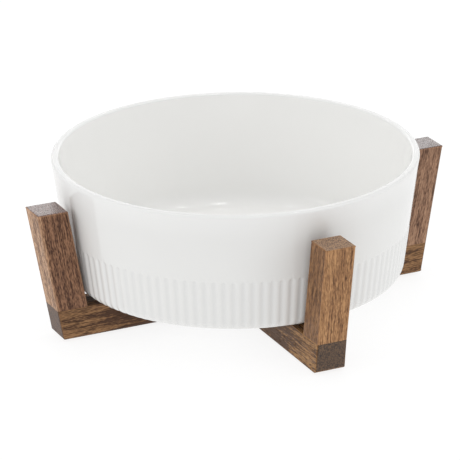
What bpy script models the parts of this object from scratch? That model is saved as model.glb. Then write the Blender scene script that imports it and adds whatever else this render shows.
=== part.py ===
"""Serving bowl with a fluted band, standing in a crossed wooden stand with four leaning posts.

Two square bars cross in a half-lap joint. A post leans outwards on each of the four bar ends, held by
two glued dowels, and the bowl rests loose on the bars between the posts. +X is right, +Y is back, +Z is
up, and the origin is on the table below the crossing.
"""

from math import cos, pi, radians, sin, sqrt, tan

import bmesh
import bpy
from mathutils import Matrix, Vector

# ---- Driving dimensions, in metres ----
GAP = 0.0003  # glue line, seat gap and clearance between any two pieces

BAR_SIZE = 0.0225  # width and height of a bar, and thickness of a post
BAR_FOOT_RADIUS = 0.1414  # from the crossing to the foot of a bar's end face
LEAN = radians(10.0)  # the posts and the bars' end faces lean outwards by this
POST_TOP_HEIGHT = 0.0956  # above the underside of the bars
WOOD_EDGE = 0.0008  # sanded edge
FOOT_EDGE = 0.0018  # rounder edge under each bar end

DOWEL_RADIUS = 0.0030
DOWEL_LENGTH = 0.028
DOWEL_IN_BAR = 0.012  # how far a dowel reaches down into the bar
DOWEL_SPREAD = 0.0055  # each dowel is this far from the bar's centreline
DOWEL_AXIS_RADIUS = 0.1350  # from the crossing to a dowel's axis

PAD_RADIUS = 0.0060
PAD_THICKNESS = 0.0015
PAD_EDGE = 0.0004
PAD_AXIS_RADIUS = 0.1310

SCREW_LENGTH = 0.0160
SCREW_HEAD_RADIUS = 0.0039
SCREW_HEAD_HEIGHT = 0.0024
SCREW_SHANK_RADIUS = 0.0019
SCREW_CORE_RADIUS = 0.0013
SCREW_PITCH = 0.0016
SCREW_RECESS_DEPTH = 0.0014

BOWL_PLACE = (-0.0024, 0.0002)  # the loose bowl stands a little off the crossing
RIM_RADIUS = 0.1303
RIM_HEIGHT = 0.1142  # above the underside of the bars
WALL_SLOPE = 0.1302  # outward flare of the outer wall, per unit of height
BASE_HEIGHT = 0.0256  # underside of the bowl's body, above the underside of the bars
CORNER_SIZE = 0.0089  # rounding between the underside and the wall
FLUTE_COUNT = 116
FLUTE_DEPTH = 0.0006
FLUTE_TOP_HEIGHT = 0.0640  # above the underside of the bars
FLUTE_RUN_OUT = 0.0014  # height over which a flute fades into the plain wall
WALL_THICKNESS = 0.0055
LIP_RADIUS = 0.0020
FLOOR_HEIGHT = 0.0320  # inner floor, above the underside of the bars
INNER_SLOPE = 0.145  # outward flare of the inner wall
FILLET_RADIUS = 0.0140  # between the inner wall and the floor
FOOT_RING_RADIUS = 0.0980
FOOT_RING_WIDTH = 0.0050
RECESS_HEIGHT = 0.0018  # of the base inside the foot ring, above the ring's face
GLAZE_EDGE = 0.0012  # slope at each side of the foot ring

# ---- Heights worked out from them ----
BAR_BOTTOM = PAD_THICKNESS + GAP
BAR_TOP = BAR_BOTTOM + BAR_SIZE
POST_BOTTOM = BAR_TOP + GAP
POST_TOP = BAR_BOTTOM + POST_TOP_HEIGHT
BOWL_SEAT = BAR_TOP + GAP
RIM_TOP = BAR_BOTTOM + RIM_HEIGHT
LAP_HEIGHT = BAR_BOTTOM + BAR_SIZE / 2
POST_RUN = BAR_SIZE / cos(LEAN)  # horizontal thickness of a leaning post

SIDES = {"right": 0.0, "back": 90.0, "left": 180.0, "front": 270.0}  # turn of each bar end, in degrees
ROUND_SEGMENTS = 20


# ---- Scene, materials and small helpers ----
def clear_scene():
    for obj in list(bpy.data.objects):
        bpy.data.objects.remove(obj, do_unlink=True)


def make_material(name, colour, roughness, metallic=0.0):
    material = bpy.data.materials.new(name)
    material.use_nodes = True
    shader = material.node_tree.nodes["Principled BSDF"]
    shader.inputs["Base Color"].default_value = (*colour, 1.0)
    shader.inputs["Roughness"].default_value = roughness
    shader.inputs["Metallic"].default_value = metallic
    return material


def add_object(name, mesh, material=None, parent=None):
    obj = bpy.data.objects.new(name, mesh)
    bpy.context.scene.collection.objects.link(obj)
    obj.parent = parent
    if material:
        mesh.materials.clear()
        mesh.materials.append(material)
    return obj


def add_empty(name, turn=0.0, parent=None):
    empty = add_object(name, None, parent=parent)
    empty.rotation_euler.z = radians(turn)
    return empty


def finish_mesh(bm, name, smooth_angle=None):
    bmesh.ops.recalc_face_normals(bm, faces=bm.faces)
    mesh = bpy.data.meshes.new(name)
    bm.to_mesh(mesh)
    bm.free()
    if smooth_angle is not None:
        mesh.shade_smooth()
        mesh.set_sharp_from_angle(angle=radians(smooth_angle))
    return mesh


def turned_mesh(name, profile, segments=ROUND_SEGMENTS, smooth_angle=35.0):
    """Solid of revolution about Z. The profile's (radius, height) points start and end on the axis."""
    bm = bmesh.new()
    points = [bm.verts.new((radius, 0.0, height)) for radius, height in profile]
    edges = [bm.edges.new(pair) for pair in zip(points, points[1:])]
    bmesh.ops.spin(
        bm, geom=points + edges, cent=(0, 0, 0), axis=(0, 0, 1), angle=2 * pi, steps=segments, use_merge=True
    )
    bmesh.ops.remove_doubles(bm, verts=bm.verts, dist=1e-6)
    return finish_mesh(bm, name, smooth_angle)


def slab_bmesh(outline, width):
    """Outline of (x, z) points, extruded to both sides of the XZ plane."""
    bm = bmesh.new()
    face = bm.faces.new([bm.verts.new((x, -width / 2, z)) for x, z in outline])
    extruded = bmesh.ops.extrude_face_region(bm, geom=[face])["geom"]
    moved = [item for item in extruded if isinstance(item, bmesh.types.BMVert)]
    bmesh.ops.translate(bm, verts=moved, vec=(0, width, 0))
    bmesh.ops.recalc_face_normals(bm, faces=bm.faces)
    return bm


def bevel_where(bm, chosen, size, segments):
    """Rounds the edges whose two end points both pass the test."""
    edges = [edge for edge in bm.edges if chosen(edge.verts[0].co, edge.verts[1].co)]
    bmesh.ops.bevel(bm, geom=edges, offset=size, segments=segments, profile=0.5, affect="EDGES")


def cut_mesh(name, mesh, cutter_meshes):
    """The mesh with each of the (mesh, location) cutters taken out of it."""
    blank = add_object(name + "_blank", mesh)
    cutters = []
    for cutter_mesh, location in cutter_meshes:
        cutter = add_object(name + "_cutter", cutter_mesh)
        cutter.location = location
        cutters.append(cutter)
        modifier = blank.modifiers.new("Cut", "BOOLEAN")
        modifier.operation = "DIFFERENCE"
        modifier.solver = "EXACT"
        modifier.object = cutter
    bpy.context.view_layer.update()
    graph = bpy.context.evaluated_depsgraph_get()
    result = bpy.data.meshes.new_from_object(blank.evaluated_get(graph), depsgraph=graph)
    result.name = name
    for helper in [blank, *cutters]:
        bpy.data.objects.remove(helper, do_unlink=True)
    return result


# ---- Wooden stand ----
def end_radius(height):
    """Distance of the leaning end face from the crossing, at a height above the underside of the bars."""
    return BAR_FOOT_RADIUS + height * tan(LEAN)


def dowel_hole_mesh():
    reach = DOWEL_LENGTH + 2 * GAP
    return turned_mesh(
        "dowel_hole", [(0, 0), (DOWEL_RADIUS + GAP, 0), (DOWEL_RADIUS + GAP, reach), (0, reach)]
    )


def dowel_hole_places():
    bottom = BAR_TOP - DOWEL_IN_BAR - GAP
    return [Vector((DOWEL_AXIS_RADIUS, side * DOWEL_SPREAD, bottom)) for side in (-1, 1)]


def screw_hole_mesh():
    """Clearance and countersink for the lap screw, with its mouth at the bar's underside."""
    wide, narrow = SCREW_HEAD_RADIUS + GAP, SCREW_SHANK_RADIUS + GAP
    profile = [
        (0, -SCREW_HEAD_HEIGHT),
        (wide, -SCREW_HEAD_HEIGHT),
        (wide, 2 * GAP),
        (narrow, SCREW_HEAD_HEIGHT + GAP),
        (narrow, SCREW_LENGTH + 3 * GAP),
        (0, SCREW_LENGTH + 3 * GAP),
    ]
    return turned_mesh("screw_hole", profile)


def bar_mesh(name, notch_on_top):
    """A bar along X with leaning ends, its half of the lap joint, four dowel holes and the screw hole."""
    foot, head = end_radius(0), end_radius(BAR_SIZE)
    half_notch = BAR_SIZE / 2 + GAP
    lap = LAP_HEIGHT - GAP / 2 if notch_on_top else LAP_HEIGHT + GAP / 2
    notch_edge = BAR_TOP if notch_on_top else BAR_BOTTOM
    notch = [(half_notch, notch_edge), (half_notch, lap), (-half_notch, lap), (-half_notch, notch_edge)]
    ends_right = [(foot, BAR_BOTTOM), (head, BAR_TOP)]
    ends_left = [(-head, BAR_TOP), (-foot, BAR_BOTTOM)]
    outline = ends_right + notch + ends_left if notch_on_top else ends_right + ends_left + notch[::-1]
    bm = slab_bmesh(outline, BAR_SIZE)

    def under_the_end(a, b):
        return min(abs(a.x), abs(b.x)) > foot - GAP and max(a.z, b.z) < BAR_BOTTOM + GAP

    def beside_the_end(a, b):
        return min(abs(a.x), abs(b.x)) > foot - FOOT_EDGE - GAP and abs(a.z - b.z) > BAR_SIZE / 2

    def along_the_underside(a, b):
        return max(a.z, b.z) < BAR_BOTTOM + GAP and abs(a.x - b.x) > BAR_SIZE and abs(a.y - b.y) < GAP

    bevel_where(bm, under_the_end, FOOT_EDGE, 3)
    bevel_where(bm, beside_the_end, WOOD_EDGE, 2)
    bevel_where(bm, along_the_underside, WOOD_EDGE, 2)
    hole = dowel_hole_mesh()
    cutters = [(hole, place) for place in dowel_hole_places()]
    cutters += [(hole, place * Vector((-1, 1, 1))) for place in dowel_hole_places()]
    cutters.append((screw_hole_mesh(), Vector((0, 0, BAR_BOTTOM))))
    return cut_mesh(name, finish_mesh(bm, name), cutters)


def post_mesh():
    """The post on the +X bar end: leaning, cut level at both ends, with two dowel holes in its foot."""
    bottom, top = POST_BOTTOM - BAR_BOTTOM, POST_TOP - BAR_BOTTOM
    outline = [
        (end_radius(bottom) - POST_RUN, POST_BOTTOM),
        (end_radius(bottom), POST_BOTTOM),
        (end_radius(top), POST_TOP),
        (end_radius(top) - POST_RUN, POST_TOP),
    ]
    bm = slab_bmesh(outline, BAR_SIZE)
    bevel_where(bm, lambda a, b: max(a.z, b.z) > POST_TOP - GAP, WOOD_EDGE, 2)
    cutters = [(dowel_hole_mesh(), place) for place in dowel_hole_places()]
    return cut_mesh("post", finish_mesh(bm, "post"), cutters)


def dowel_mesh():
    edge = DOWEL_RADIUS / 5
    profile = [
        (0, 0),
        (DOWEL_RADIUS - edge, 0),
        (DOWEL_RADIUS, edge),
        (DOWEL_RADIUS, DOWEL_LENGTH - edge),
        (DOWEL_RADIUS - edge, DOWEL_LENGTH),
        (0, DOWEL_LENGTH),
    ]
    return turned_mesh("dowel", profile)


def pad_mesh():
    profile = [(0, 0), (PAD_RADIUS - PAD_EDGE, 0), (PAD_RADIUS, PAD_EDGE), (PAD_RADIUS, PAD_THICKNESS)]
    return turned_mesh("pad", profile + [(0, PAD_THICKNESS)], segments=28)


def screw_mesh():
    """Countersunk wood screw, head down, with turned thread ridges and a cross recess."""
    profile = [(0, 0), (SCREW_HEAD_RADIUS, 0), (SCREW_HEAD_RADIUS, GAP)]
    profile += [(SCREW_SHANK_RADIUS, SCREW_HEAD_HEIGHT), (SCREW_SHANK_RADIUS, 2 * SCREW_HEAD_HEIGHT)]
    height = 2 * SCREW_HEAD_HEIGHT + SCREW_PITCH / 2
    while height < SCREW_LENGTH - 2 * SCREW_PITCH:
        profile += [(SCREW_CORE_RADIUS, height), (SCREW_SHANK_RADIUS, height + SCREW_PITCH / 2)]
        height += SCREW_PITCH
    profile += [(SCREW_CORE_RADIUS, height), (0, SCREW_LENGTH)]
    blade = Vector((SCREW_HEAD_RADIUS * 1.1, SCREW_HEAD_RADIUS * 0.22, 2 * SCREW_RECESS_DEPTH))
    cutters = []
    for size in (blade, Vector((blade.y, blade.x, blade.z))):
        bm = bmesh.new()
        bmesh.ops.create_cube(bm, size=1.0, matrix=Matrix.Diagonal(size).to_4x4())
        cutters.append((finish_mesh(bm, "recess"), Vector((0, 0, 0))))
    return cut_mesh("screw", turned_mesh("screw", profile), cutters)


def build_stand(wood, dowel_wood, rubber, steel):
    stand = add_empty("stand")
    add_object("left_right_bar", bar_mesh("left_right_bar", notch_on_top=True), wood, stand)
    crossing = add_object("front_back_bar", bar_mesh("front_back_bar", notch_on_top=False), wood, stand)
    crossing.rotation_euler.z = radians(90)
    post, dowel, pad = post_mesh(), dowel_mesh(), pad_mesh()
    for side, turn in SIDES.items():
        arm = add_empty(side + "_arm", turn, stand)
        add_object(side + "_post", post, wood, arm)
        for number, place in enumerate(dowel_hole_places(), start=1):
            peg = add_object(f"{side}_post_dowel_{number}", dowel, dowel_wood, arm)
            peg.location = place + Vector((0, 0, GAP))
        foot = add_object(side + "_foot_pad", pad, rubber, arm)
        foot.location = (PAD_AXIS_RADIUS, 0, 0)
    screw = add_object("lap_joint_screw", screw_mesh(), steel, stand)
    screw.location = (0, 0, BAR_BOTTOM + GAP)


# ---- Bowl ----
def outer_radius(height):
    """Outer wall, at a height above the underside of the bars."""
    return RIM_RADIUS - (RIM_HEIGHT - height) * WALL_SLOPE


def inner_radius(height):
    return RIM_RADIUS - WALL_THICKNESS - (RIM_HEIGHT - height) * INNER_SLOPE


def quarter(steps, skip_first=False):
    """(across, up) pairs along a quarter circle, from lying flat (0, 0) to standing upright (1, 1)."""
    turns = [step / steps * pi / 2 for step in range(skip_first, steps + 1)]
    return [(sin(turn), 1 - cos(turn)) for turn in turns]


def bowl_rings():
    """(radius, height, share of the flute depth) from the underside's middle, round the rim, to the floor's.

    Heights are above the underside of the bars. The share is None where a ring has no flutes.
    """
    seat = BOWL_SEAT - BAR_BOTTOM
    ring_out, ring_in = FOOT_RING_RADIUS, FOOT_RING_RADIUS - FOOT_RING_WIDTH
    corner_top = BASE_HEIGHT + CORNER_SIZE
    corner_in = outer_radius(corner_top) - CORNER_SIZE
    rings = [
        (ring_in - GLAZE_EDGE, seat + RECESS_HEIGHT, None),
        (ring_in, seat, None),
        (ring_out, seat, None),
        (ring_out + GLAZE_EDGE, BASE_HEIGHT, None),
        (corner_in, BASE_HEIGHT, None),
    ]
    for across, up in quarter(4, skip_first=True):
        rings.append((corner_in + CORNER_SIZE * across, BASE_HEIGHT + CORNER_SIZE * up, min(1, 2 * up)))
    fade = FLUTE_TOP_HEIGHT - FLUTE_RUN_OUT
    rings += [(outer_radius(fade), fade, 1), (outer_radius(FLUTE_TOP_HEIGHT), FLUTE_TOP_HEIGHT, 0)]
    lip_foot = RIM_HEIGHT - LIP_RADIUS
    for across, up in quarter(3)[::-1]:
        rings.append((outer_radius(lip_foot) - LIP_RADIUS * (1 - across), RIM_HEIGHT - LIP_RADIUS * up, None))
    for across, up in quarter(3):
        rings.append((inner_radius(lip_foot) + LIP_RADIUS * (1 - across), RIM_HEIGHT - LIP_RADIUS * up, None))
    fillet_top = FLOOR_HEIGHT + FILLET_RADIUS
    fillet_in = inner_radius(fillet_top) - FILLET_RADIUS
    for across, up in quarter(5)[::-1]:
        rings.append((fillet_in + FILLET_RADIUS * across, FLOOR_HEIGHT + FILLET_RADIUS * up, None))
    return rings


def add_ring(bm, radius, height, share):
    """A ring of points, with a valley between each two ridges where the bowl is fluted."""
    count = FLUTE_COUNT if share is None else 2 * FLUTE_COUNT
    points = []
    for index in range(count):
        depth = FLUTE_DEPTH * share if share is not None and index % 2 else 0.0
        turn = 2 * pi * index / count
        place = Vector(((radius - depth) * cos(turn), (radius - depth) * sin(turn), height))
        points.append(bm.verts.new(place))
    return points


def join_rings(bm, first, second):
    """Faces between two rings that have as many points, or one twice as many as the other."""
    fine, coarse = (first, second) if len(first) >= len(second) else (second, first)
    step = len(fine) // len(coarse)
    for index in range(len(coarse)):
        here, there = coarse[index], coarse[(index + 1) % len(coarse)]
        run = [fine[(index * step + offset) % len(fine)] for offset in range(step + 1)]
        if step == 2:
            bm.faces.new((here, run[0], run[1]))
            run = run[1:]
        bm.faces.new((here, *run, there))


def bowl_mesh():
    bm = bmesh.new()
    rings = [add_ring(bm, radius, BAR_BOTTOM + height, share) for radius, height, share in bowl_rings()]
    for first, second in zip(rings, rings[1:]):
        join_rings(bm, first, second)
    for rim in (rings[0], rings[-1]):
        centre = bm.verts.new((0, 0, rim[0].co.z))
        for here, there in zip(rim, rim[1:] + rim[:1]):
            bm.faces.new((centre, here, there))
    return finish_mesh(bm, "bowl", smooth_angle=30.0)


def main():
    clear_scene()
    wood = make_material("acacia", (0.23, 0.12, 0.065), 0.55)
    dowel_wood = make_material("beech", (0.62, 0.42, 0.25), 0.7)
    glaze = make_material("white_glaze", (0.84, 0.84, 0.82), 0.12)
    rubber = make_material("pad_rubber", (0.05, 0.05, 0.05), 0.8)
    steel = make_material("screw_steel", (0.62, 0.60, 0.55), 0.35, metallic=1.0)
    build_stand(wood, dowel_wood, rubber, steel)
    bowl = add_object("bowl", bowl_mesh(), glaze)
    bowl.location = (*BOWL_PLACE, 0)


main()
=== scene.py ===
"""Looks of the serving bowl in its crossed wooden stand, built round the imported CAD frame.

Visual pieces replace the bowl, the bars, the posts and the foot pads: a fine glazed bowl with rounded
flutes, and wood with eased edges and its grain along each piece. The dowels and the screw keep their
CAD shapes. Everything is in metres, +Z up, with +X along the left-right bar.
"""

from collections import namedtuple
from math import atan, cos, hypot, pi, radians, sin, sqrt, tan

import bmesh
import bpy
from mathutils import Matrix, Vector, noise


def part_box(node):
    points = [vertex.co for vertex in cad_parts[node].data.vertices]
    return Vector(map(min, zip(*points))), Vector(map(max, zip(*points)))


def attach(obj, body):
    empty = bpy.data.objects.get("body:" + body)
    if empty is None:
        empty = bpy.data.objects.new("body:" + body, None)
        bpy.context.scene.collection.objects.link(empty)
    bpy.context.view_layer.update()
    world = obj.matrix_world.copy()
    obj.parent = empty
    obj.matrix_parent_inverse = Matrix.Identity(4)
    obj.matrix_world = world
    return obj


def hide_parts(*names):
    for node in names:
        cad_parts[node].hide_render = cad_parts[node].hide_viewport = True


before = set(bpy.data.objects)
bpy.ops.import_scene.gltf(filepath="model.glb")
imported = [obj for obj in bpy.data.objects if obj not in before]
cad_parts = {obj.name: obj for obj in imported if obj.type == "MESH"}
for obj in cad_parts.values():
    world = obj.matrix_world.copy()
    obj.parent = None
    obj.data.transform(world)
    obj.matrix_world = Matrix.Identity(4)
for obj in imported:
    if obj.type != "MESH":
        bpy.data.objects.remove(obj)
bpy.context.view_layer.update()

# ---- Taken from the frame ----
BAR_LOW, BAR_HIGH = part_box("left_right_bar")
PAD_LOW, PAD_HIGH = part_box("right_foot_pad")
SCREW_LOW, SCREW_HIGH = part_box("lap_joint_screw")
BOWL_LOW, BOWL_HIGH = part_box("bowl")
WOOD_WIDTH = BAR_HIGH.y - BAR_LOW.y
BAR_BOTTOM, BAR_TOP = BAR_LOW.z, BAR_HIGH.z
BAR_END = BAR_HIGH.x  # radius of a bar's end face, at the bar's top
POST_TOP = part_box("right_post")[1].z
PAD_RADIUS = (PAD_HIGH.x - PAD_LOW.x) / 2
PAD_REACH = (PAD_LOW.x + PAD_HIGH.x) / 2  # from the stand's middle
SCREW_HEAD_RADIUS = (SCREW_HIGH.x - SCREW_LOW.x) / 2
BOWL_MIDDLE = (BOWL_LOW + BOWL_HIGH) / 2
RIM_RADIUS = (BOWL_HIGH.x - BOWL_LOW.x) / 2
RIM_TOP, BOWL_SEAT = BOWL_HIGH.z, BOWL_LOW.z
STAND, BOWL = "stand", "bowl"  # the two bodies
SIDES = {"right": 0.0, "back": 90.0, "left": 180.0, "front": 270.0}  # turn of each arm, in degrees

# ---- Stand ----
LEAN = radians(10.0)  # of the posts and of the bars' end faces
JOINT_LINE = 0.00006  # what shows of the glue line under a post
LAP_LINE = 0.00025  # gap on each side of a lap notch
LONG_EDGE = 0.0013  # easing of the edges that run along the grain
TOP_EDGE = 0.0012  # of a post's top
BAR_TOP_EDGE = 0.0004
BAR_UNDER_EDGE = 0.0018
FOOT_EDGE = 0.0022  # under a bar's end
EASING_STEPS = 4
ROUNDING_SHARE = 1 / 8  # a face smaller than this share of the wood's section belongs to an easing
END_GRAIN_FACING = 0.80  # a face whose normal is more than this along the grain is end grain
NEAR = 0.00025  # a corner this close to a face counts as being on it
MERGE = 1e-6  # points this close are one point

COUNTERSINK_GAP = 0.0003  # round the screw's head
COUNTERSINK_RIM = 0.0006  # height of its straight part
COUNTERSINK_DEPTH = 0.0027
PAD_FLAT, PAD_ROUNDED = 0.80, 0.20  # shares of a pad's radius
PAD_DOME = 0.0007  # height of its rounded part

# ---- Bowl: heights are above the underside of the bars ----
RIM_HEIGHT = RIM_TOP - BAR_BOTTOM
SEAT_HEIGHT = BOWL_SEAT - BAR_BOTTOM
WALL_SLOPE = 0.1302  # outward for each metre up
BASE_HEIGHT = 0.0256
CORNER_RADIUS = 0.0089
FLUTE_COUNT = 116
COLUMNS = 10 * FLUTE_COUNT  # of the mesh, round the bowl
FLUTE_DEPTH = 0.00050
FLUTE_SHARPNESS = 1.3  # power of the cosine that shapes a flute
FLUTE_TOP = 0.0648
FLUTE_RUN_OUT = 0.0016
FLUTE_TIP_DROP = 0.9 * FLUTE_RUN_OUT  # how much lower a flute ends at its sides than in its middle
FLUTE_ROOT = 0.5 * CORNER_RADIUS  # the flutes come in over this height at their lower end
WALL_THICKNESS = 0.0055
INNER_SLOPE = 0.145
LIP_OUTER, LIP_INNER = 0.0017, 0.0015  # rounding of the lip's two edges
LIP_STEPS = 7
LIP_FLAT = 0.15 * LIP_OUTER  # the lip's flat top reaches down this far
BRIM_HEIGHT = 0.018  # the paler top of the outside
FLOOR_HEIGHT = 0.0320
FILLET_RADIUS = 0.0140
FOOT_RING_RADIUS, FOOT_RING_WIDTH = 0.0980, 0.0050
FOOT_EASING = FOOT_RING_WIDTH / 5
RECESS_HEIGHT = 0.0018
BASE_ROWS, FLOOR_ROWS = (0.02, 0.05, 0.08), (0.085, 0.055, 0.025)  # radii of mesh rows on the two flats
BARE_HEIGHT, BARE_FROM = FOOT_RING_WIDTH / 10, 0.9 * FOOT_RING_RADIUS  # where the foot ring has no glaze
WOBBLE_DEPTH = 0.00010  # waviness of the wall
WOBBLE_ROUND, WOBBLE_UP = 2.2, 18  # how fast it changes round the bowl, and for each metre up

# ---- Camera and light ----
VIEW_TURN, VIEW_RISE, VIEW_ROLL = radians(-25.20), radians(21.22), radians(-0.69)
VIEW_DISTANCE = 2.372
VIEW_LENS, SENSOR = 259.0, 36.0  # in millimetres
AIM_RIGHT, AIM_UP = -0.00666, 0.05045  # the picture's middle, from the stand's foot along the view's axes
CLIP_END = 50
WHITE = (1, 1, 1, 1)
WORLD_LIGHT = 0.71
FLOOR_SIZE, FLOOR_GLOW = 6.0, 0.86

# Each area light: its place as (right, away, up) seen from the camera's side, width, height and power.
LIGHTS = {
    "overhead_panel": ((0.0, 0.1, 1.9), 2.2, 2.2, 6.8),
    "back_panel": ((0.0, 2.6, 1.05), 1.8, 0.8, 11.0),
    "left_panel": ((-2.5, -0.9, 1.1), 1.6, 1.4, 9.5),
    "right_panel": ((2.5, -0.7, 1.1), 1.6, 1.4, 6.0),
    "small_light": ((0.12, 0.27, 1.6), 0.07, 0.20, 0.90),
    "left_strip": ((-0.46, 0.39, 1.6), 0.27, 0.05, 0.36),
    "right_strip": ((0.44, 0.39, 1.6), 0.27, 0.05, 0.60),
}

# ---- Wood ----
# Each piece has the seed of its noise, its pith as (y, z) beside the piece, its ring spacing, the slope of
# its grain across (y, z), the middle colours of its sides, of its outer side and of its ends, the strength
# of its rings, streaks, fibres and flecks, the roughness of its ends, and how much painted shade darkens it
# towards the crossing, where the bowl shades the bars.
Wood = namedtuple("Wood", "seed pith ring slope side outer end rings streaks fibres flecks end_rough heart")

# The posts' end colours, seen on their tops, are lighter and greyer than the bars' ends: partly painted
# sheen.
WOODS = {
    "left_right_bar": Wood(
        1.0, (0.030, -0.046), 0.0062, (0.02, 0.03),
        (0.200, 0.098, 0.040), (0.200, 0.098, 0.040), (0.105, 0.056, 0.033),
        0.45, 0.70, 0.55, 0.90, 0.50, 0.90,
    ),
    "front_back_bar": Wood(
        2.3, (0.045, 0.036), 0.0055, (0.03, -0.02),
        (0.235, 0.113, 0.037), (0.235, 0.113, 0.037), (0.085, 0.044, 0.021),
        0.25, 0.60, 0.70, 1.00, 0.50, 1.00,
    ),
    "left_post": Wood(
        3.1, (0.018, 0.060), 0.0048, (0.01, 0.02),
        (0.195, 0.092, 0.048), (0.420, 0.240, 0.138), (0.182, 0.118, 0.101),
        0.20, 0.50, 0.45, 1.20, 0.30, 0.0,
    ),
    "front_post": Wood(
        4.7, (0.012, -0.050), 0.0052, (0.06, 0.00),
        (0.220, 0.103, 0.040), (0.315, 0.156, 0.066), (0.280, 0.160, 0.087),
        0.22, 0.40, 0.42, 0.65, 0.50, 0.0,
    ),
    "right_post": Wood(
        5.9, (-0.040, 0.030), 0.0050, (0.02, -0.03),
        (0.266, 0.143, 0.085), (0.266, 0.143, 0.085), (0.145, 0.103, 0.094),
        0.20, 0.36, 0.40, 0.70, 0.30, 0.0,
    ),
    "back_post": Wood(
        7.2, (0.050, 0.020), 0.0050, (-0.02, 0.02),
        (0.240, 0.125, 0.065), (0.280, 0.155, 0.085), (0.180, 0.120, 0.095),
        0.25, 0.50, 0.50, 0.70, 0.35, 0.0,
    ),
}
SEED_SHARES = ((3.7, 1.1, 2.3), (1.9, 4.1, 0.7), (0.6, 2.9, 5.3))  # turn a seed into three noise offsets
RING_BEND = 0.007  # how far the growth rings wander
# Painted shade: the bars darken towards the crossing, where the bowl shades them.
CROSSING_SHADE_REACH = (0.070, 0.134)  # from the crossing: darkest up to the first, the plain colour past the second
# The outer side's colour is partly paler wood, partly painted light for the side light and sheen on it.
OUTER_BAND = (-0.97 * WOOD_WIDTH / 2, -0.80 * WOOD_WIDTH / 2)  # across a post, just under its outer side
FIGURE_WEIGHT, SPECKLE_WEIGHT = 0.10, 1.1
NOISE_SPREAD = 0.22  # most of a noise lies within this much either side of a half
NOISE_LOW, NOISE_HIGH = 0.3, 0.7  # a noise's usual range

# ---- Glaze colours ----
GLAZE_DRIFT = [(0.3, (0.812, 0.812, 0.800)), (0.7, (0.828, 0.828, 0.815))]
# Darker glaze in the flutes' hollows.
GLAZE_IN_FLUTES = (0.755, 0.760, 0.755)
# Painted light: the inside is paler to make up for the shade within the bowl.
GLAZE_INSIDE = (0.922, 0.920, 0.905)
GLAZE_BRIM = (0.872, 0.872, 0.862)
# Painted shade: the lip's flat top is greyer to tone down the glare on it.
GLAZE_LIP = (0.740, 0.740, 0.732)

# ---- Node materials ----
MIX_INPUTS, MIX_OUTPUT = (0, 6, 7), 2  # a Mix node's factor and two colours, and its mixed colour


class Surface:
    """A Principled material with short calls for the nodes that feed it."""

    def __init__(self, name, **constants):
        self.material = bpy.data.materials.new(name)
        self.material.use_nodes = True
        self.nodes = self.material.node_tree.nodes
        self.links = self.material.node_tree.links
        self.shader = self.nodes["Principled BSDF"]
        for socket, value in constants.items():
            self.shader.inputs[socket.replace("_", " ")].default_value = value
        self.place = self.add("ShaderNodeTexCoord").outputs["Object"]

    def add(self, kind, inputs=None, **settings):
        node = self.nodes.new(kind)
        for name, value in settings.items():
            setattr(node, name, value)
        for key, value in (inputs or {}).items():
            self.feed(node.inputs[key], value)
        return node

    def feed(self, socket, value):
        if isinstance(value, bpy.types.NodeSocket):
            self.links.new(value, socket)
        else:
            socket.default_value = value

    def math(self, operation, *values, clamp=False):
        node = self.add("ShaderNodeMath", operation=operation, use_clamp=clamp)
        for socket, value in zip(node.inputs, values):
            self.feed(socket, value)
        return node.outputs[0]

    def total(self, first, *others):
        for other in others:
            first = self.math("ADD", first, other)
        return first

    def noise(self, scale, offset=(0, 0, 0), detail=2.0, roughness=0.5):
        """Noise with this many features to a metre along each axis."""
        stretch = {"Vector": self.place, "Scale": scale, "Location": offset}
        vector = self.add("ShaderNodeMapping", stretch).outputs[0]
        inputs = {"Vector": vector, "Scale": 1.0, "Detail": detail, "Roughness": roughness}
        return self.add("ShaderNodeTexNoise", inputs).outputs["Fac"]

    def ramp(self, factor, low, high, out_low=0.0, out_high=1.0, curve="SMOOTHSTEP"):
        """The factor, remapped from low..high to out_low..out_high."""
        inputs = {"Value": factor, "From Min": low, "From Max": high, "To Min": out_low, "To Max": out_high}
        return self.add("ShaderNodeMapRange", inputs, interpolation_type=curve).outputs[0]

    def between(self, field, at_low, at_high):
        """A value that goes from at_low to at_high as a noise field goes through its usual range."""
        return self.ramp(field, NOISE_LOW, NOISE_HIGH, at_low, at_high)

    def centred(self, field, weight):
        """A noise field as a share either side of nought, with its usual spread stretched to the weight."""
        return self.ramp(field, 0.5 - NOISE_SPREAD, 0.5 + NOISE_SPREAD, -weight, weight, curve="LINEAR")

    def colours(self, factor, stops):
        """A colour band: stops are (place, (red, green, blue))."""
        node = self.add("ShaderNodeValToRGB", {"Fac": factor})
        band = node.color_ramp
        band.interpolation = "EASE"
        while len(band.elements) < len(stops):
            band.elements.new(0.5)
        for element, (place, colour) in zip(band.elements, stops):
            element.position = place
            element.color = (*colour, 1.0)
        return node.outputs["Color"]

    def mix(self, factor, first, second):
        """From the first colour to the second. The second may be plain numbers."""
        node = self.add("ShaderNodeMix", data_type="RGBA")
        second = second if isinstance(second, bpy.types.NodeSocket) else (*second, 1.0)
        for index, value in zip(MIX_INPUTS, (factor, first, second)):
            self.feed(node.inputs[index], value)
        return node.outputs[MIX_OUTPUT]

    def tinted(self, colour, field, share, tint):
        """The colour, gone over to the tint by a share of the field."""
        return self.mix(self.math("MULTIPLY", field, share), colour, tint)

    def attribute(self, name):
        return self.add("ShaderNodeAttribute", attribute_name=name).outputs["Fac"]

    def bump(self, height, distance, strength):
        inputs = {"Height": height, "Distance": distance, "Strength": strength}
        return self.add("ShaderNodeBump", inputs).outputs["Normal"]

    def finish(self, **links):
        for socket, value in links.items():
            self.feed(self.shader.inputs[socket.replace("_", " ")], value)
        return self.material


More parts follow.
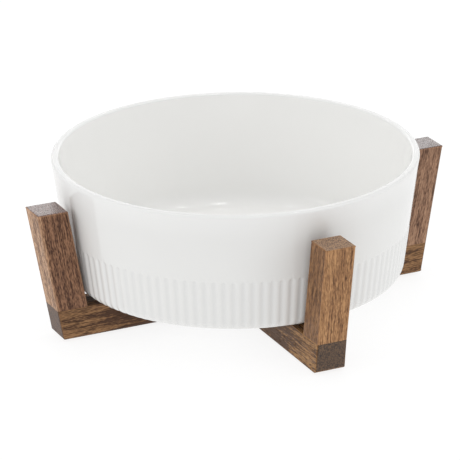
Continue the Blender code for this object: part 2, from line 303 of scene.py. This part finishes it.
class WoodSurface(Surface):
    """Brown wood with its grain along the object's X axis, and the fields that its colours come from."""

    def __init__(self, name, wood, **constants):
        super().__init__(name, **constants)
        self.wood = wood
        self.offsets = [tuple(wood.seed * share for share in shares) for shares in SEED_SHARES]
        turn = (0, wood.slope[1], wood.slope[0])
        self.place = self.add("ShaderNodeMapping", {"Vector": self.place, "Rotation": turn}).outputs[0]
        self.axes = self.add("ShaderNodeSeparateXYZ", {"Vector": self.place}).outputs
        self.rings = self.ring_field()
        first, second, third = self.offsets
        self.streaks = self.grain(5, 190, first, detail=3, roughness=0.62)
        self.figure = self.grain(45, 70, second)
        self.fibres = self.grain(55, 1150, third, detail=1)
        self.flecks = self.grain(330, 1500, second, detail=1)
        self.pores = self.ramp(self.grain(150, 1500, first, detail=1), 0.58, 0.66)

    def grain(self, along, across, offset, **settings):
        """Noise with this many features to a metre along the grain and across it."""
        return self.noise((along, across, across), offset, **settings)

    def ring_field(self):
        """1 in the pale early part of each growth ring, falling to 0 in its dark late part."""
        squares = []
        for axis, pith, offset in zip("YZ", self.wood.pith, self.offsets):
            bend = self.ramp(self.grain(8, 26, offset), 0, 1, -RING_BEND, RING_BEND, curve="LINEAR")
            from_pith = self.math("ADD", self.math("SUBTRACT", self.axes[axis], pith), bend)
            squares.append(self.math("POWER", from_pith, 2.0))
        distance = self.math("SQRT", self.math("ADD", *squares))
        phase = self.math("FRACT", self.math("DIVIDE", distance, self.wood.ring))
        rise, fall = self.ramp(phase, 0.0, 0.20), self.ramp(phase, 0.40, 0.98)
        return self.math("SUBTRACT", rise, fall, clamp=True)


def shade(colour, *shares):
    """The colour with its channels scaled, all by one share or each by its own."""
    shares = shares if len(shares) == 3 else shares * 3
    return tuple(channel * share for channel, share in zip(colour, shares))


def wood_stops(middle):
    """Colour band about this middle colour: the dark end keeps its red, the light end turns yellower."""
    return [(0.0, shade(middle, 0.36, 0.30, 0.28)), (0.5, middle), (1.0, shade(middle, 1.60, 1.72, 1.78))]


def wood_surface(name, wood):
    """Oiled side grain: streaks, rings and short dark pores; the outer side's colour is partly painted light.
    """
    side = WoodSurface(name, wood, Specular_IOR_Level=0.28)
    from_crossing = side.math("ABSOLUTE", side.axes["X"])
    depth = side.total(
        side.ramp(side.rings, 0.0, 1.0, -wood.rings / 2, wood.rings / 2, curve="LINEAR"),
        side.centred(side.streaks, wood.streaks / 2),
        side.centred(side.flecks, wood.flecks / 2),
        side.centred(side.figure, FIGURE_WEIGHT),
        side.centred(side.fibres, wood.fibres),
        0.5,
        # painted shade: darker towards the crossing, where the bowl shades the bars
        side.ramp(from_crossing, *CROSSING_SHADE_REACH, -wood.heart, 0.0),
    )
    colour = side.colours(depth, wood_stops(wood.side))
    # Outer side: partly paler wood, partly painted light for the side light and sheen on outward faces.
    if wood.outer != wood.side:
        band = side.ramp(side.axes["Z"], *OUTER_BAND, 1.0, 0.0)
        colour = side.mix(band, colour, side.colours(depth, wood_stops(wood.outer)))
    colour = side.tinted(colour, side.pores, share=0.60, tint=shade(wood.side, 0.20))
    # Painted highlight: the eased edges are tinted lighter for the sheen they catch.
    colour = side.tinted(colour, side.attribute("edge"), share=0.25, tint=shade(wood.outer, 1.5))
    sheen = side.between(side.streaks, at_low=0.52, at_high=0.42)
    rough = side.math("ADD", sheen, side.math("MULTIPLY", side.pores, 0.25))
    relief = side.math("SUBTRACT", side.math("MULTIPLY", side.fibres, 0.4), side.pores)
    bump = side.bump(relief, distance=0.00012, strength=0.7)
    return side.finish(Base_Color=colour, Roughness=rough, Normal=bump)


def end_surface(name, wood):
    """Sawn end grain: faint ring arcs with open pores as dots."""
    end = WoodSurface(name, wood, Specular_IOR_Level=0.5)
    speckle = end.grain(1150, 1150, end.offsets[2], detail=1)
    depth = end.total(end.ramp(end.rings, 0.0, 1.0, 0.40, 0.58), end.centred(speckle, SPECKLE_WEIGHT))
    colour = end.colours(depth, wood_stops(wood.end))
    colour = end.tinted(colour, end.pores, share=0.50, tint=shade(wood.end, 0.30))
    # Painted highlight: the eased edges are tinted lighter for the sheen they catch.
    colour = end.tinted(colour, end.attribute("edge"), share=0.25, tint=shade(wood.end, 1.6))
    rough = end.between(speckle, at_low=wood.end_rough - 0.06, at_high=wood.end_rough + 0.06)
    relief = end.math("SUBTRACT", end.math("MULTIPLY", speckle, 0.5), end.pores)
    bump = end.bump(relief, distance=0.00012, strength=0.8)
    return end.finish(Base_Color=colour, Roughness=rough, Normal=bump)


def glaze_surface():
    """Thick white glaze, in the shades that the bowl's own fields call for.

    It is darker in the flutes' hollows, paler inside, where painted light makes up for the bowl's shade,
    paler on the brim, and greyer and duller on the lip's flat top, where the grey is painted shade that
    tones down the glare.
    """
    glaze = Surface("white_glaze", Specular_IOR_Level=0.35, IOR=1.5)
    body = glaze.colours(glaze.noise((14, 14, 14)), GLAZE_DRIFT)
    body = glaze.mix(glaze.ramp(glaze.attribute("flute_hollow"), 0.0, 1.0, 0.0, 0.5), body, GLAZE_IN_FLUTES)
    # painted light: paler inside, against the bowl's own shade
    body = glaze.mix(glaze.attribute("inside"), body, GLAZE_INSIDE)
    body = glaze.mix(glaze.attribute("brim"), body, GLAZE_BRIM)
    lip = glaze.attribute("lip")
    # painted shade: greyer on the lip's flat top, against its glare
    body = glaze.mix(lip, body, GLAZE_LIP)
    rough = glaze.between(glaze.noise((60, 60, 60), detail=3), at_low=0.045, at_high=0.085)
    rough = glaze.math("ADD", rough, glaze.math("MULTIPLY", lip, 0.32))
    peel = glaze.bump(glaze.noise((170, 170, 170), detail=1), distance=0.00004, strength=0.35)
    return glaze.finish(Base_Color=body, Roughness=rough, Normal=peel)


def speckled_surface(name, scale, dark, light, rough, relief, detail=3, noise_roughness=0.5, **constants):
    """One noise drives the colour, the roughness and a fine relief.

    dark and light are (noise, colour), rough is the roughness at a low and a high noise, and relief is
    the bump's distance and strength.
    """
    surface = Surface(name, **constants)
    speckle = surface.noise(scale, detail=detail, roughness=noise_roughness)
    colour = surface.colours(speckle, [dark, light])
    bump = surface.bump(speckle, *relief)
    return surface.finish(Base_Color=colour, Roughness=surface.between(speckle, *rough), Normal=bump)


def bisque_surface():
    """Bare fired clay on the foot ring."""
    return speckled_surface(
        "bare_clay", (900, 900, 900), (0.3, (0.50, 0.45, 0.38)), (0.7, (0.66, 0.61, 0.53)),
        rough=(0.80, 0.95), relief=(0.0002, 0.5), noise_roughness=0.7, Specular_IOR_Level=0.3,
    )


def dowel_surface():
    """Pale turned beech with short flecks along Z."""
    return speckled_surface(
        "beech", (900, 900, 60), (0.35, (0.42, 0.26, 0.14)), (0.6, (0.62, 0.43, 0.27)),
        rough=(0.75, 0.60), relief=(0.0001, 0.6), detail=2, Specular_IOR_Level=0.4,
    )


def rubber_surface():
    """Matt black rubber with a little dust."""
    return speckled_surface(
        "pad_rubber", (700, 700, 700), (0.4, (0.030, 0.030, 0.031)), (0.75, (0.062, 0.060, 0.058)),
        rough=(0.65, 0.85), relief=(0.0001, 0.4), Specular_IOR_Level=0.35,
    )


def steel_surface():
    """Zinc-plated steel with fine turning marks round Z."""
    return speckled_surface(
        "screw_steel", (300, 300, 2600), (0.3, (0.42, 0.41, 0.38)), (0.7, (0.66, 0.64, 0.58)),
        rough=(0.28, 0.48), relief=(0.00005, 0.5), Metallic=1.0,
    )


# ---- Mesh helpers ----
def to_mesh(bm, name):
    bmesh.ops.recalc_face_normals(bm, faces=bm.faces)
    mesh = bpy.data.meshes.new(name)
    bm.to_mesh(mesh)
    bm.free()
    mesh.shade_smooth()
    return mesh


def add_piece(name, mesh, materials, body, replaced, place):
    piece = bpy.data.objects.new(name, mesh)
    bpy.context.scene.collection.objects.link(piece)
    piece.matrix_world = place
    for material in materials:
        mesh.materials.append(material)
    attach(piece, body)
    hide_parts(replaced)


def eased_block(name, outline, easings, place):
    """Outline of (x, z) points, extruded to the wood's width across the XZ plane, with eased edges.

    easings are (test, size): an edge whose two ends pass the test is rounded by that size. The mesh
    comes back in the coordinates of place, and its "edge" attribute is 1 on the rounding and 0 on the flats.
    Faces that cut across the grain, which runs along X there, get the second material.
    """
    bm = bmesh.new()
    face = bm.faces.new([bm.verts.new((x, -WOOD_WIDTH / 2, z)) for x, z in outline])
    extruded = bmesh.ops.extrude_face_region(bm, geom=[face])["geom"]
    moved = [item for item in extruded if isinstance(item, bmesh.types.BMVert)]
    bmesh.ops.translate(bm, verts=moved, vec=(0, WOOD_WIDTH, 0))
    bmesh.ops.recalc_face_normals(bm, faces=bm.faces)
    for test, size in easings:
        edges = [edge for edge in bm.edges if test(edge.verts[0].co, edge.verts[1].co)]
        bmesh.ops.bevel(bm, geom=edges, offset=size, segments=EASING_STEPS, profile=0.5, affect="EDGES")
    bmesh.ops.dissolve_degenerate(bm, edges=bm.edges, dist=MERGE)
    bm.transform(place.inverted())
    mesh = to_mesh(bm, name)
    mark_faces(mesh)
    return mesh


def mark_faces(mesh):
    """End grain gets the second material, and the easings are smooth and marked as edges."""
    edge = mesh.attributes.new("edge", "FLOAT", "FACE")
    for face, value in zip(mesh.polygons, edge.data):
        face.material_index = int(abs(face.normal.x) > END_GRAIN_FACING)
        face.use_smooth = face.area < WOOD_WIDTH * WOOD_WIDTH * ROUNDING_SHARE
        value.value = float(face.use_smooth)


def turned_mesh(name, profile, segments=48):
    """Solid of revolution about Z from (radius, height) points."""
    bm = bmesh.new()
    points = [bm.verts.new((radius, 0.0, height)) for radius, height in profile]
    edges = [bm.edges.new(pair) for pair in zip(points, points[1:])]
    bmesh.ops.spin(
        bm, geom=points + edges, cent=(0, 0, 0), axis=(0, 0, 1), angle=2 * pi, steps=segments, use_merge=True
    )
    bmesh.ops.remove_doubles(bm, verts=bm.verts, dist=MERGE)
    return to_mesh(bm, name)


# ---- Stand ----
def end_radius(height):
    """Radius of the leaning end face at this height above the table."""
    return BAR_END + (height - BAR_TOP) * tan(LEAN)


def bar_outline(notch_on_top):
    """(x, z) points of a bar along X with leaning ends and its half of the lap joint."""
    foot, head = end_radius(BAR_BOTTOM), end_radius(BAR_TOP)
    half = WOOD_WIDTH / 2 + LAP_LINE
    middle = (BAR_BOTTOM + BAR_TOP) / 2
    edge = BAR_TOP if notch_on_top else BAR_BOTTOM
    notch = [(half, edge), (half, middle), (-half, middle), (-half, edge)]
    right = [(foot, BAR_BOTTOM), (head, BAR_TOP)]
    left = [(-head, BAR_TOP), (-foot, BAR_BOTTOM)]
    return right + notch + left if notch_on_top else right + left + notch[::-1]


def bar_mesh(name, notch_on_top):
    """A bar with its easings, and with the countersink if it is the lower one at the crossing."""
    foot = end_radius(BAR_BOTTOM)

    def under_end(a, b):
        return min(abs(a.x), abs(b.x)) > foot - NEAR and max(a.z, b.z) < BAR_BOTTOM + NEAR

    def beside_end(a, b):
        return min(abs(a.x), abs(b.x)) > foot - 2 * FOOT_EDGE and abs(a.z - b.z) > WOOD_WIDTH / 2

    def along_bottom(a, b):
        return max(a.z, b.z) < BAR_BOTTOM + NEAR and abs(a.x - b.x) > WOOD_WIDTH

    def along_top(a, b):
        return min(a.z, b.z) > BAR_TOP - NEAR and abs(a.x - b.x) > WOOD_WIDTH

    easings = [
        (under_end, FOOT_EDGE),
        (beside_end, LONG_EDGE),
        (along_bottom, BAR_UNDER_EDGE),
        (along_top, BAR_TOP_EDGE),
    ]
    bar = eased_block(name, bar_outline(notch_on_top), easings, Matrix.Identity(4))
    return countersunk(bar) if notch_on_top else bar


def countersunk(bar):
    """The lower bar with the countersink for the screw's head cut up into its underside."""
    mouth, throat = SCREW_HEAD_RADIUS + COUNTERSINK_GAP, SCREW_HEAD_RADIUS / 2
    below = BAR_BOTTOM - COUNTERSINK_DEPTH
    rim, deep = BAR_BOTTOM + COUNTERSINK_RIM, BAR_BOTTOM + COUNTERSINK_DEPTH
    cutter = turned_mesh("countersink", [(0, below), (mouth, below), (mouth, rim), (throat, deep), (0, deep)])
    pieces = [bpy.data.objects.new(bar.name, mesh) for mesh in (bar, cutter)]
    for piece in pieces:
        bpy.context.scene.collection.objects.link(piece)
    cut = pieces[0].modifiers.new("countersink", "BOOLEAN")
    cut.operation, cut.solver, cut.object = "DIFFERENCE", "EXACT", pieces[1]
    evaluated = pieces[0].evaluated_get(bpy.context.evaluated_depsgraph_get())
    drilled = bpy.data.meshes.new_from_object(evaluated)
    for piece in pieces:
        bpy.data.objects.remove(piece)
    return drilled


def post_place():
    """Matrix of the post on the +X arm: X runs up its leaning length."""
    foot, height = BAR_TOP, POST_TOP - BAR_TOP
    thickness = WOOD_WIDTH / cos(LEAN)
    centre = Vector((end_radius(foot + height / 2) - thickness / 2, 0, foot + height / 2))
    return Matrix.Translation(centre) @ Matrix.Rotation(LEAN - pi / 2, 4, "Y")


def post_mesh(name):
    """A leaning post with a level foot and top, shaped on the +X arm."""
    thickness = WOOD_WIDTH / cos(LEAN)
    foot = BAR_TOP + JOINT_LINE
    outline = [
        (end_radius(foot) - thickness, foot),
        (end_radius(foot), foot),
        (end_radius(POST_TOP), POST_TOP),
        (end_radius(POST_TOP) - thickness, POST_TOP),
    ]

    def round_top(a, b):
        return min(a.z, b.z) > POST_TOP - NEAR

    def upright(a, b):
        return abs(a.z - b.z) > WOOD_WIDTH

    return eased_block(name, outline, [(round_top, TOP_EDGE), (upright, LONG_EDGE)], post_place())


def pad_mesh(name):
    """Thin moulded pad, domed a little on its underside edge."""
    profile = [(0, 0), (PAD_RADIUS * PAD_FLAT, 0)]
    for turn in (0.4, 0.8, 1.2, pi / 2):
        profile.append((PAD_RADIUS * (PAD_FLAT + PAD_ROUNDED * sin(turn)), PAD_DOME * (1 - cos(turn))))
    return turned_mesh(name, profile + [(PAD_RADIUS, BAR_BOTTOM), (0, BAR_BOTTOM)])


def add_wood(node, mesh, place):
    """The wooden piece that stands for this CAD node, with side grain and end grain."""
    wood = WOODS[node]
    materials = [wood_surface(node + "_side_grain", wood), end_surface(node + "_end_grain", wood)]
    add_piece(node + "_wood", mesh, materials, STAND, node, place)


def build_stand():
    quarter = Matrix.Rotation(pi / 2, 4, "Z")
    add_wood("left_right_bar", bar_mesh("left_right_bar_wood", True), Matrix.Identity(4))
    add_wood("front_back_bar", bar_mesh("front_back_bar_wood", False), quarter)
    rubber = rubber_surface()
    for side, turn in SIDES.items():
        arm = Matrix.Rotation(radians(turn), 4, "Z")
        add_wood(side + "_post", post_mesh(side + "_post_wood"), arm @ post_place())
        pad = side + "_pad"
        pad_at = arm @ Matrix.Translation((PAD_REACH, 0, 0))
        add_piece(pad, pad_mesh(pad), [rubber], STAND, side + "_foot_pad", pad_at)


def finish_cad_nodes():
    """Materials for the CAD pieces that show as they are."""
    beech, steel = dowel_surface(), steel_surface()
    for name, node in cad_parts.items():
        if "dowel" in name or "screw" in name:
            node.data.materials.clear()
            node.data.materials.append(beech if "dowel" in name else steel)


# ---- Bowl ----
def wall_radius(height):
    return RIM_RADIUS - (RIM_HEIGHT - height) * WALL_SLOPE


def inner_radius(height):
    return RIM_RADIUS - WALL_THICKNESS - (RIM_HEIGHT - height) * INNER_SLOPE


def arc(centre, radius, start, end, steps):
    """Points of an arc, with angles in radians from the outward horizontal."""
    turns = [start + (end - start) * step / steps for step in range(steps + 1)]
    return [(centre[0] + radius * cos(turn), centre[1] + radius * sin(turn)) for turn in turns]


def line(start, end, steps):
    """Points between start and end, both left out."""
    shares = [step / steps for step in range(1, steps)]
    return [tuple(a + (b - a) * share for a, b in zip(start, end)) for share in shares]


def foot_profile():
    """(radius, height) from the middle of the base, round the foot ring and out to its root."""
    recess, soft = SEAT_HEIGHT + RECESS_HEIGHT, FOOT_EASING
    inside = FOOT_RING_RADIUS - FOOT_RING_WIDTH
    profile = [(radius, recess) for radius in (*BASE_ROWS, inside - 2 * soft)]
    profile += arc((inside + soft, SEAT_HEIGHT + soft), soft, pi, 1.5 * pi, steps=4)
    profile += arc((FOOT_RING_RADIUS - soft, SEAT_HEIGHT + soft), soft, 1.5 * pi, 2 * pi, steps=4)
    return profile + arc((FOOT_RING_RADIUS + soft, BASE_HEIGHT - soft), soft, pi, pi / 2, steps=3)


def outer_profile():
    """(radius, height) from the middle of the base, round the lip's outer edge."""
    lean = atan(WALL_SLOPE)
    corner_height = BASE_HEIGHT + CORNER_RADIUS
    corner = (wall_radius(corner_height) - CORNER_RADIUS * hypot(1, WALL_SLOPE), corner_height)
    profile = foot_profile() + arc(corner, CORNER_RADIUS, -pi / 2, -lean, steps=12)
    fade = FLUTE_TOP - 2.4 * FLUTE_RUN_OUT  # from here up to the flutes' tops the rows are closer
    profile += line(profile[-1], (wall_radius(fade), fade), steps=6)
    profile += line((wall_radius(fade), fade), (wall_radius(FLUTE_TOP), FLUTE_TOP), steps=12)
    lip_height = RIM_HEIGHT - LIP_OUTER
    profile += line((wall_radius(FLUTE_TOP), FLUTE_TOP), (wall_radius(lip_height), lip_height), steps=10)
    lip = (wall_radius(lip_height) - LIP_OUTER * hypot(1, WALL_SLOPE), lip_height)
    return profile + arc(lip, LIP_OUTER, -lean, pi / 2, LIP_STEPS)


def inner_profile():
    """(radius, height) from the lip's inner edge to the middle of the floor."""
    lean = atan(INNER_SLOPE)
    lip_height = RIM_HEIGHT - LIP_INNER
    lip = (inner_radius(lip_height) + LIP_INNER * hypot(1, INNER_SLOPE), lip_height)
    profile = arc(lip, LIP_INNER, pi / 2, pi - lean, LIP_STEPS)
    fillet_height = FLOOR_HEIGHT + FILLET_RADIUS
    fillet = (inner_radius(fillet_height) - FILLET_RADIUS * hypot(1, INNER_SLOPE), fillet_height)
    bend = arc(fillet, FILLET_RADIUS, -lean, -pi / 2, steps=14)
    profile += line(profile[-1], bend[0], steps=12) + bend
    return profile + [(radius, FLOOR_HEIGHT) for radius in FLOOR_ROWS]


def flute(turn, height):
    """How far the flutes sink the wall at this place, as a share of their full depth."""
    valley = (0.5 - 0.5 * cos(FLUTE_COUNT * turn)) ** FLUTE_SHARPNESS
    tip = FLUTE_TOP - FLUTE_TIP_DROP * (1 - valley)
    above = min(1.0, max(0.0, (tip - height) / FLUTE_RUN_OUT))
    below = min(1.0, max(0.0, (height - BASE_HEIGHT) / FLUTE_ROOT))
    return valley * above * above * (3 - 2 * above) * sqrt(below)


def wobble(turn, height):
    """Slight waviness of the thrown wall."""
    place = Vector((WOBBLE_ROUND * cos(turn), WOBBLE_ROUND * sin(turn), WOBBLE_UP * height))
    return WOBBLE_DEPTH * noise.noise(place)


def add_ring(bm, fields, radius, height, fluted, within):
    """One level ring of the bowl's skin, with the glaze's fields on its points."""
    free = radius > FOOT_RING_RADIUS and height > BASE_HEIGHT
    under_rim = RIM_HEIGHT - height
    lip = max(0.0, 1 - under_rim / LIP_FLAT)
    brim = 0.0 if within else max(0.0, 1 - under_rim / BRIM_HEIGHT)
    ring = []
    for column in range(COLUMNS):
        turn = 2 * pi * column / COLUMNS
        sunk = flute(turn, height) if fluted else 0.0
        at = radius - FLUTE_DEPTH * sunk + (wobble(turn, height) if free else 0.0)
        vert = bm.verts.new((at * cos(turn), at * sin(turn), BAR_BOTTOM + height))
        for field, value in zip(fields, (sunk, lip, brim, float(within))):
            vert[field] = value
        ring.append(vert)
    return ring


def join_rings(bm, rings):
    """Faces between each ring and the next, and across the first and the last."""
    for first, second in zip(rings, rings[1:]):
        for column in range(COLUMNS):
            after = (column + 1) % COLUMNS
            bm.faces.new((first[column], first[after], second[after], second[column]))
    for ring in (rings[0], rings[-1]):
        bm.faces.new(ring)


def bowl_mesh():
    """The bowl's closed skin, ring by ring from under the base round the lip to the inner floor."""
    outer, inner = outer_profile(), inner_profile()
    bm = bmesh.new()
    fields = [bm.verts.layers.float.new(name) for name in ("flute_hollow", "lip", "brim", "inside")]
    rings = []
    for index, (radius, height) in enumerate(outer + inner):
        fluted = index < len(outer) and BASE_HEIGHT < height < FLUTE_TOP
        within = index >= len(outer) + LIP_STEPS
        rings.append(add_ring(bm, fields, radius, height, fluted, within))
    join_rings(bm, rings)
    mesh = to_mesh(bm, "glazed_bowl")
    for face in mesh.polygons:
        if face.center.z < BOWL_SEAT + BARE_HEIGHT and face.center.xy.length > BARE_FROM:
            face.material_index = 1
    return mesh


def build_bowl():
    """The bowl in its place, with glaze and a bare foot ring."""
    materials = [glaze_surface(), bisque_surface()]
    place = Matrix.Translation((BOWL_MIDDLE.x, BOWL_MIDDLE.y, 0))
    add_piece("glazed_bowl", bowl_mesh(), materials, BOWL, "bowl", place)


# ---- Studio ----
def floor_surface():
    """Pale floor that glows a little, so that it comes out near white."""
    glow = {"Emission_Color": WHITE, "Emission_Strength": FLOOR_GLOW}
    floor = Surface("pale_floor", Roughness=0.9, Specular_IOR_Level=0.1, **glow)
    drift = floor.noise((3, 3, 3), detail=1)
    return floor.finish(Base_Color=floor.colours(drift, [(0.3, (0.17,) * 3), (0.7, (0.18,) * 3)]))


def softbox(name, place, width, height, power):
    """Area light turned towards the bowl."""
    light = bpy.data.lights.new(name, "AREA")
    light.shape, light.size, light.size_y, light.energy = "RECTANGLE", width, height, power
    lamp = bpy.data.objects.new(name, light)
    lamp.location = Matrix.Rotation(VIEW_TURN, 3, "Z") @ Vector(place)
    towards = Vector((0, 0, RIM_TOP / 2)) - lamp.location
    lamp.rotation_euler = towards.to_track_quat("-Z", "Y").to_euler()
    bpy.context.scene.collection.objects.link(lamp)


def build_studio():
    """The floor, an even white world and the soft lights."""
    bm = bmesh.new()
    bmesh.ops.create_grid(bm, x_segments=2, y_segments=2, size=FLOOR_SIZE)
    mesh = to_mesh(bm, "floor")
    mesh.materials.append(floor_surface())
    floor = bpy.data.objects.new("floor", mesh)
    bpy.context.scene.collection.objects.link(floor)

    world = bpy.data.worlds.new("studio")
    bpy.context.scene.world = world
    world.use_nodes = True
    background = world.node_tree.nodes["Background"]
    background.inputs["Color"].default_value = WHITE
    background.inputs["Strength"].default_value = WORLD_LIGHT
    for name, settings in LIGHTS.items():
        softbox(name, *settings)


def add_camera():
    """Camera looking down the view direction, a little off the stand's middle and rolled a little."""
    turned = Matrix.Rotation(VIEW_TURN, 3, "Z") @ Matrix.Rotation(pi / 2 - VIEW_RISE, 3, "X")
    aim = Vector((0, 0, BAR_BOTTOM)) + turned @ Vector((AIM_RIGHT, AIM_UP, 0))
    eye = aim + turned @ Vector((0, 0, VIEW_DISTANCE))
    rolled = turned @ Matrix.Rotation(VIEW_ROLL, 3, "Z")
    camera = bpy.data.objects.new("camera", bpy.data.cameras.new("camera"))
    camera.data.sensor_width, camera.data.lens = SENSOR, VIEW_LENS
    camera.data.clip_end = CLIP_END
    camera.matrix_world = Matrix.Translation(eye) @ rolled.to_4x4()
    bpy.context.scene.collection.objects.link(camera)
    bpy.context.scene.camera = camera


add_camera()
bpy.context.scene.view_settings.view_transform = "Standard"
build_stand()
finish_cad_nodes()
build_bowl()
build_studio()
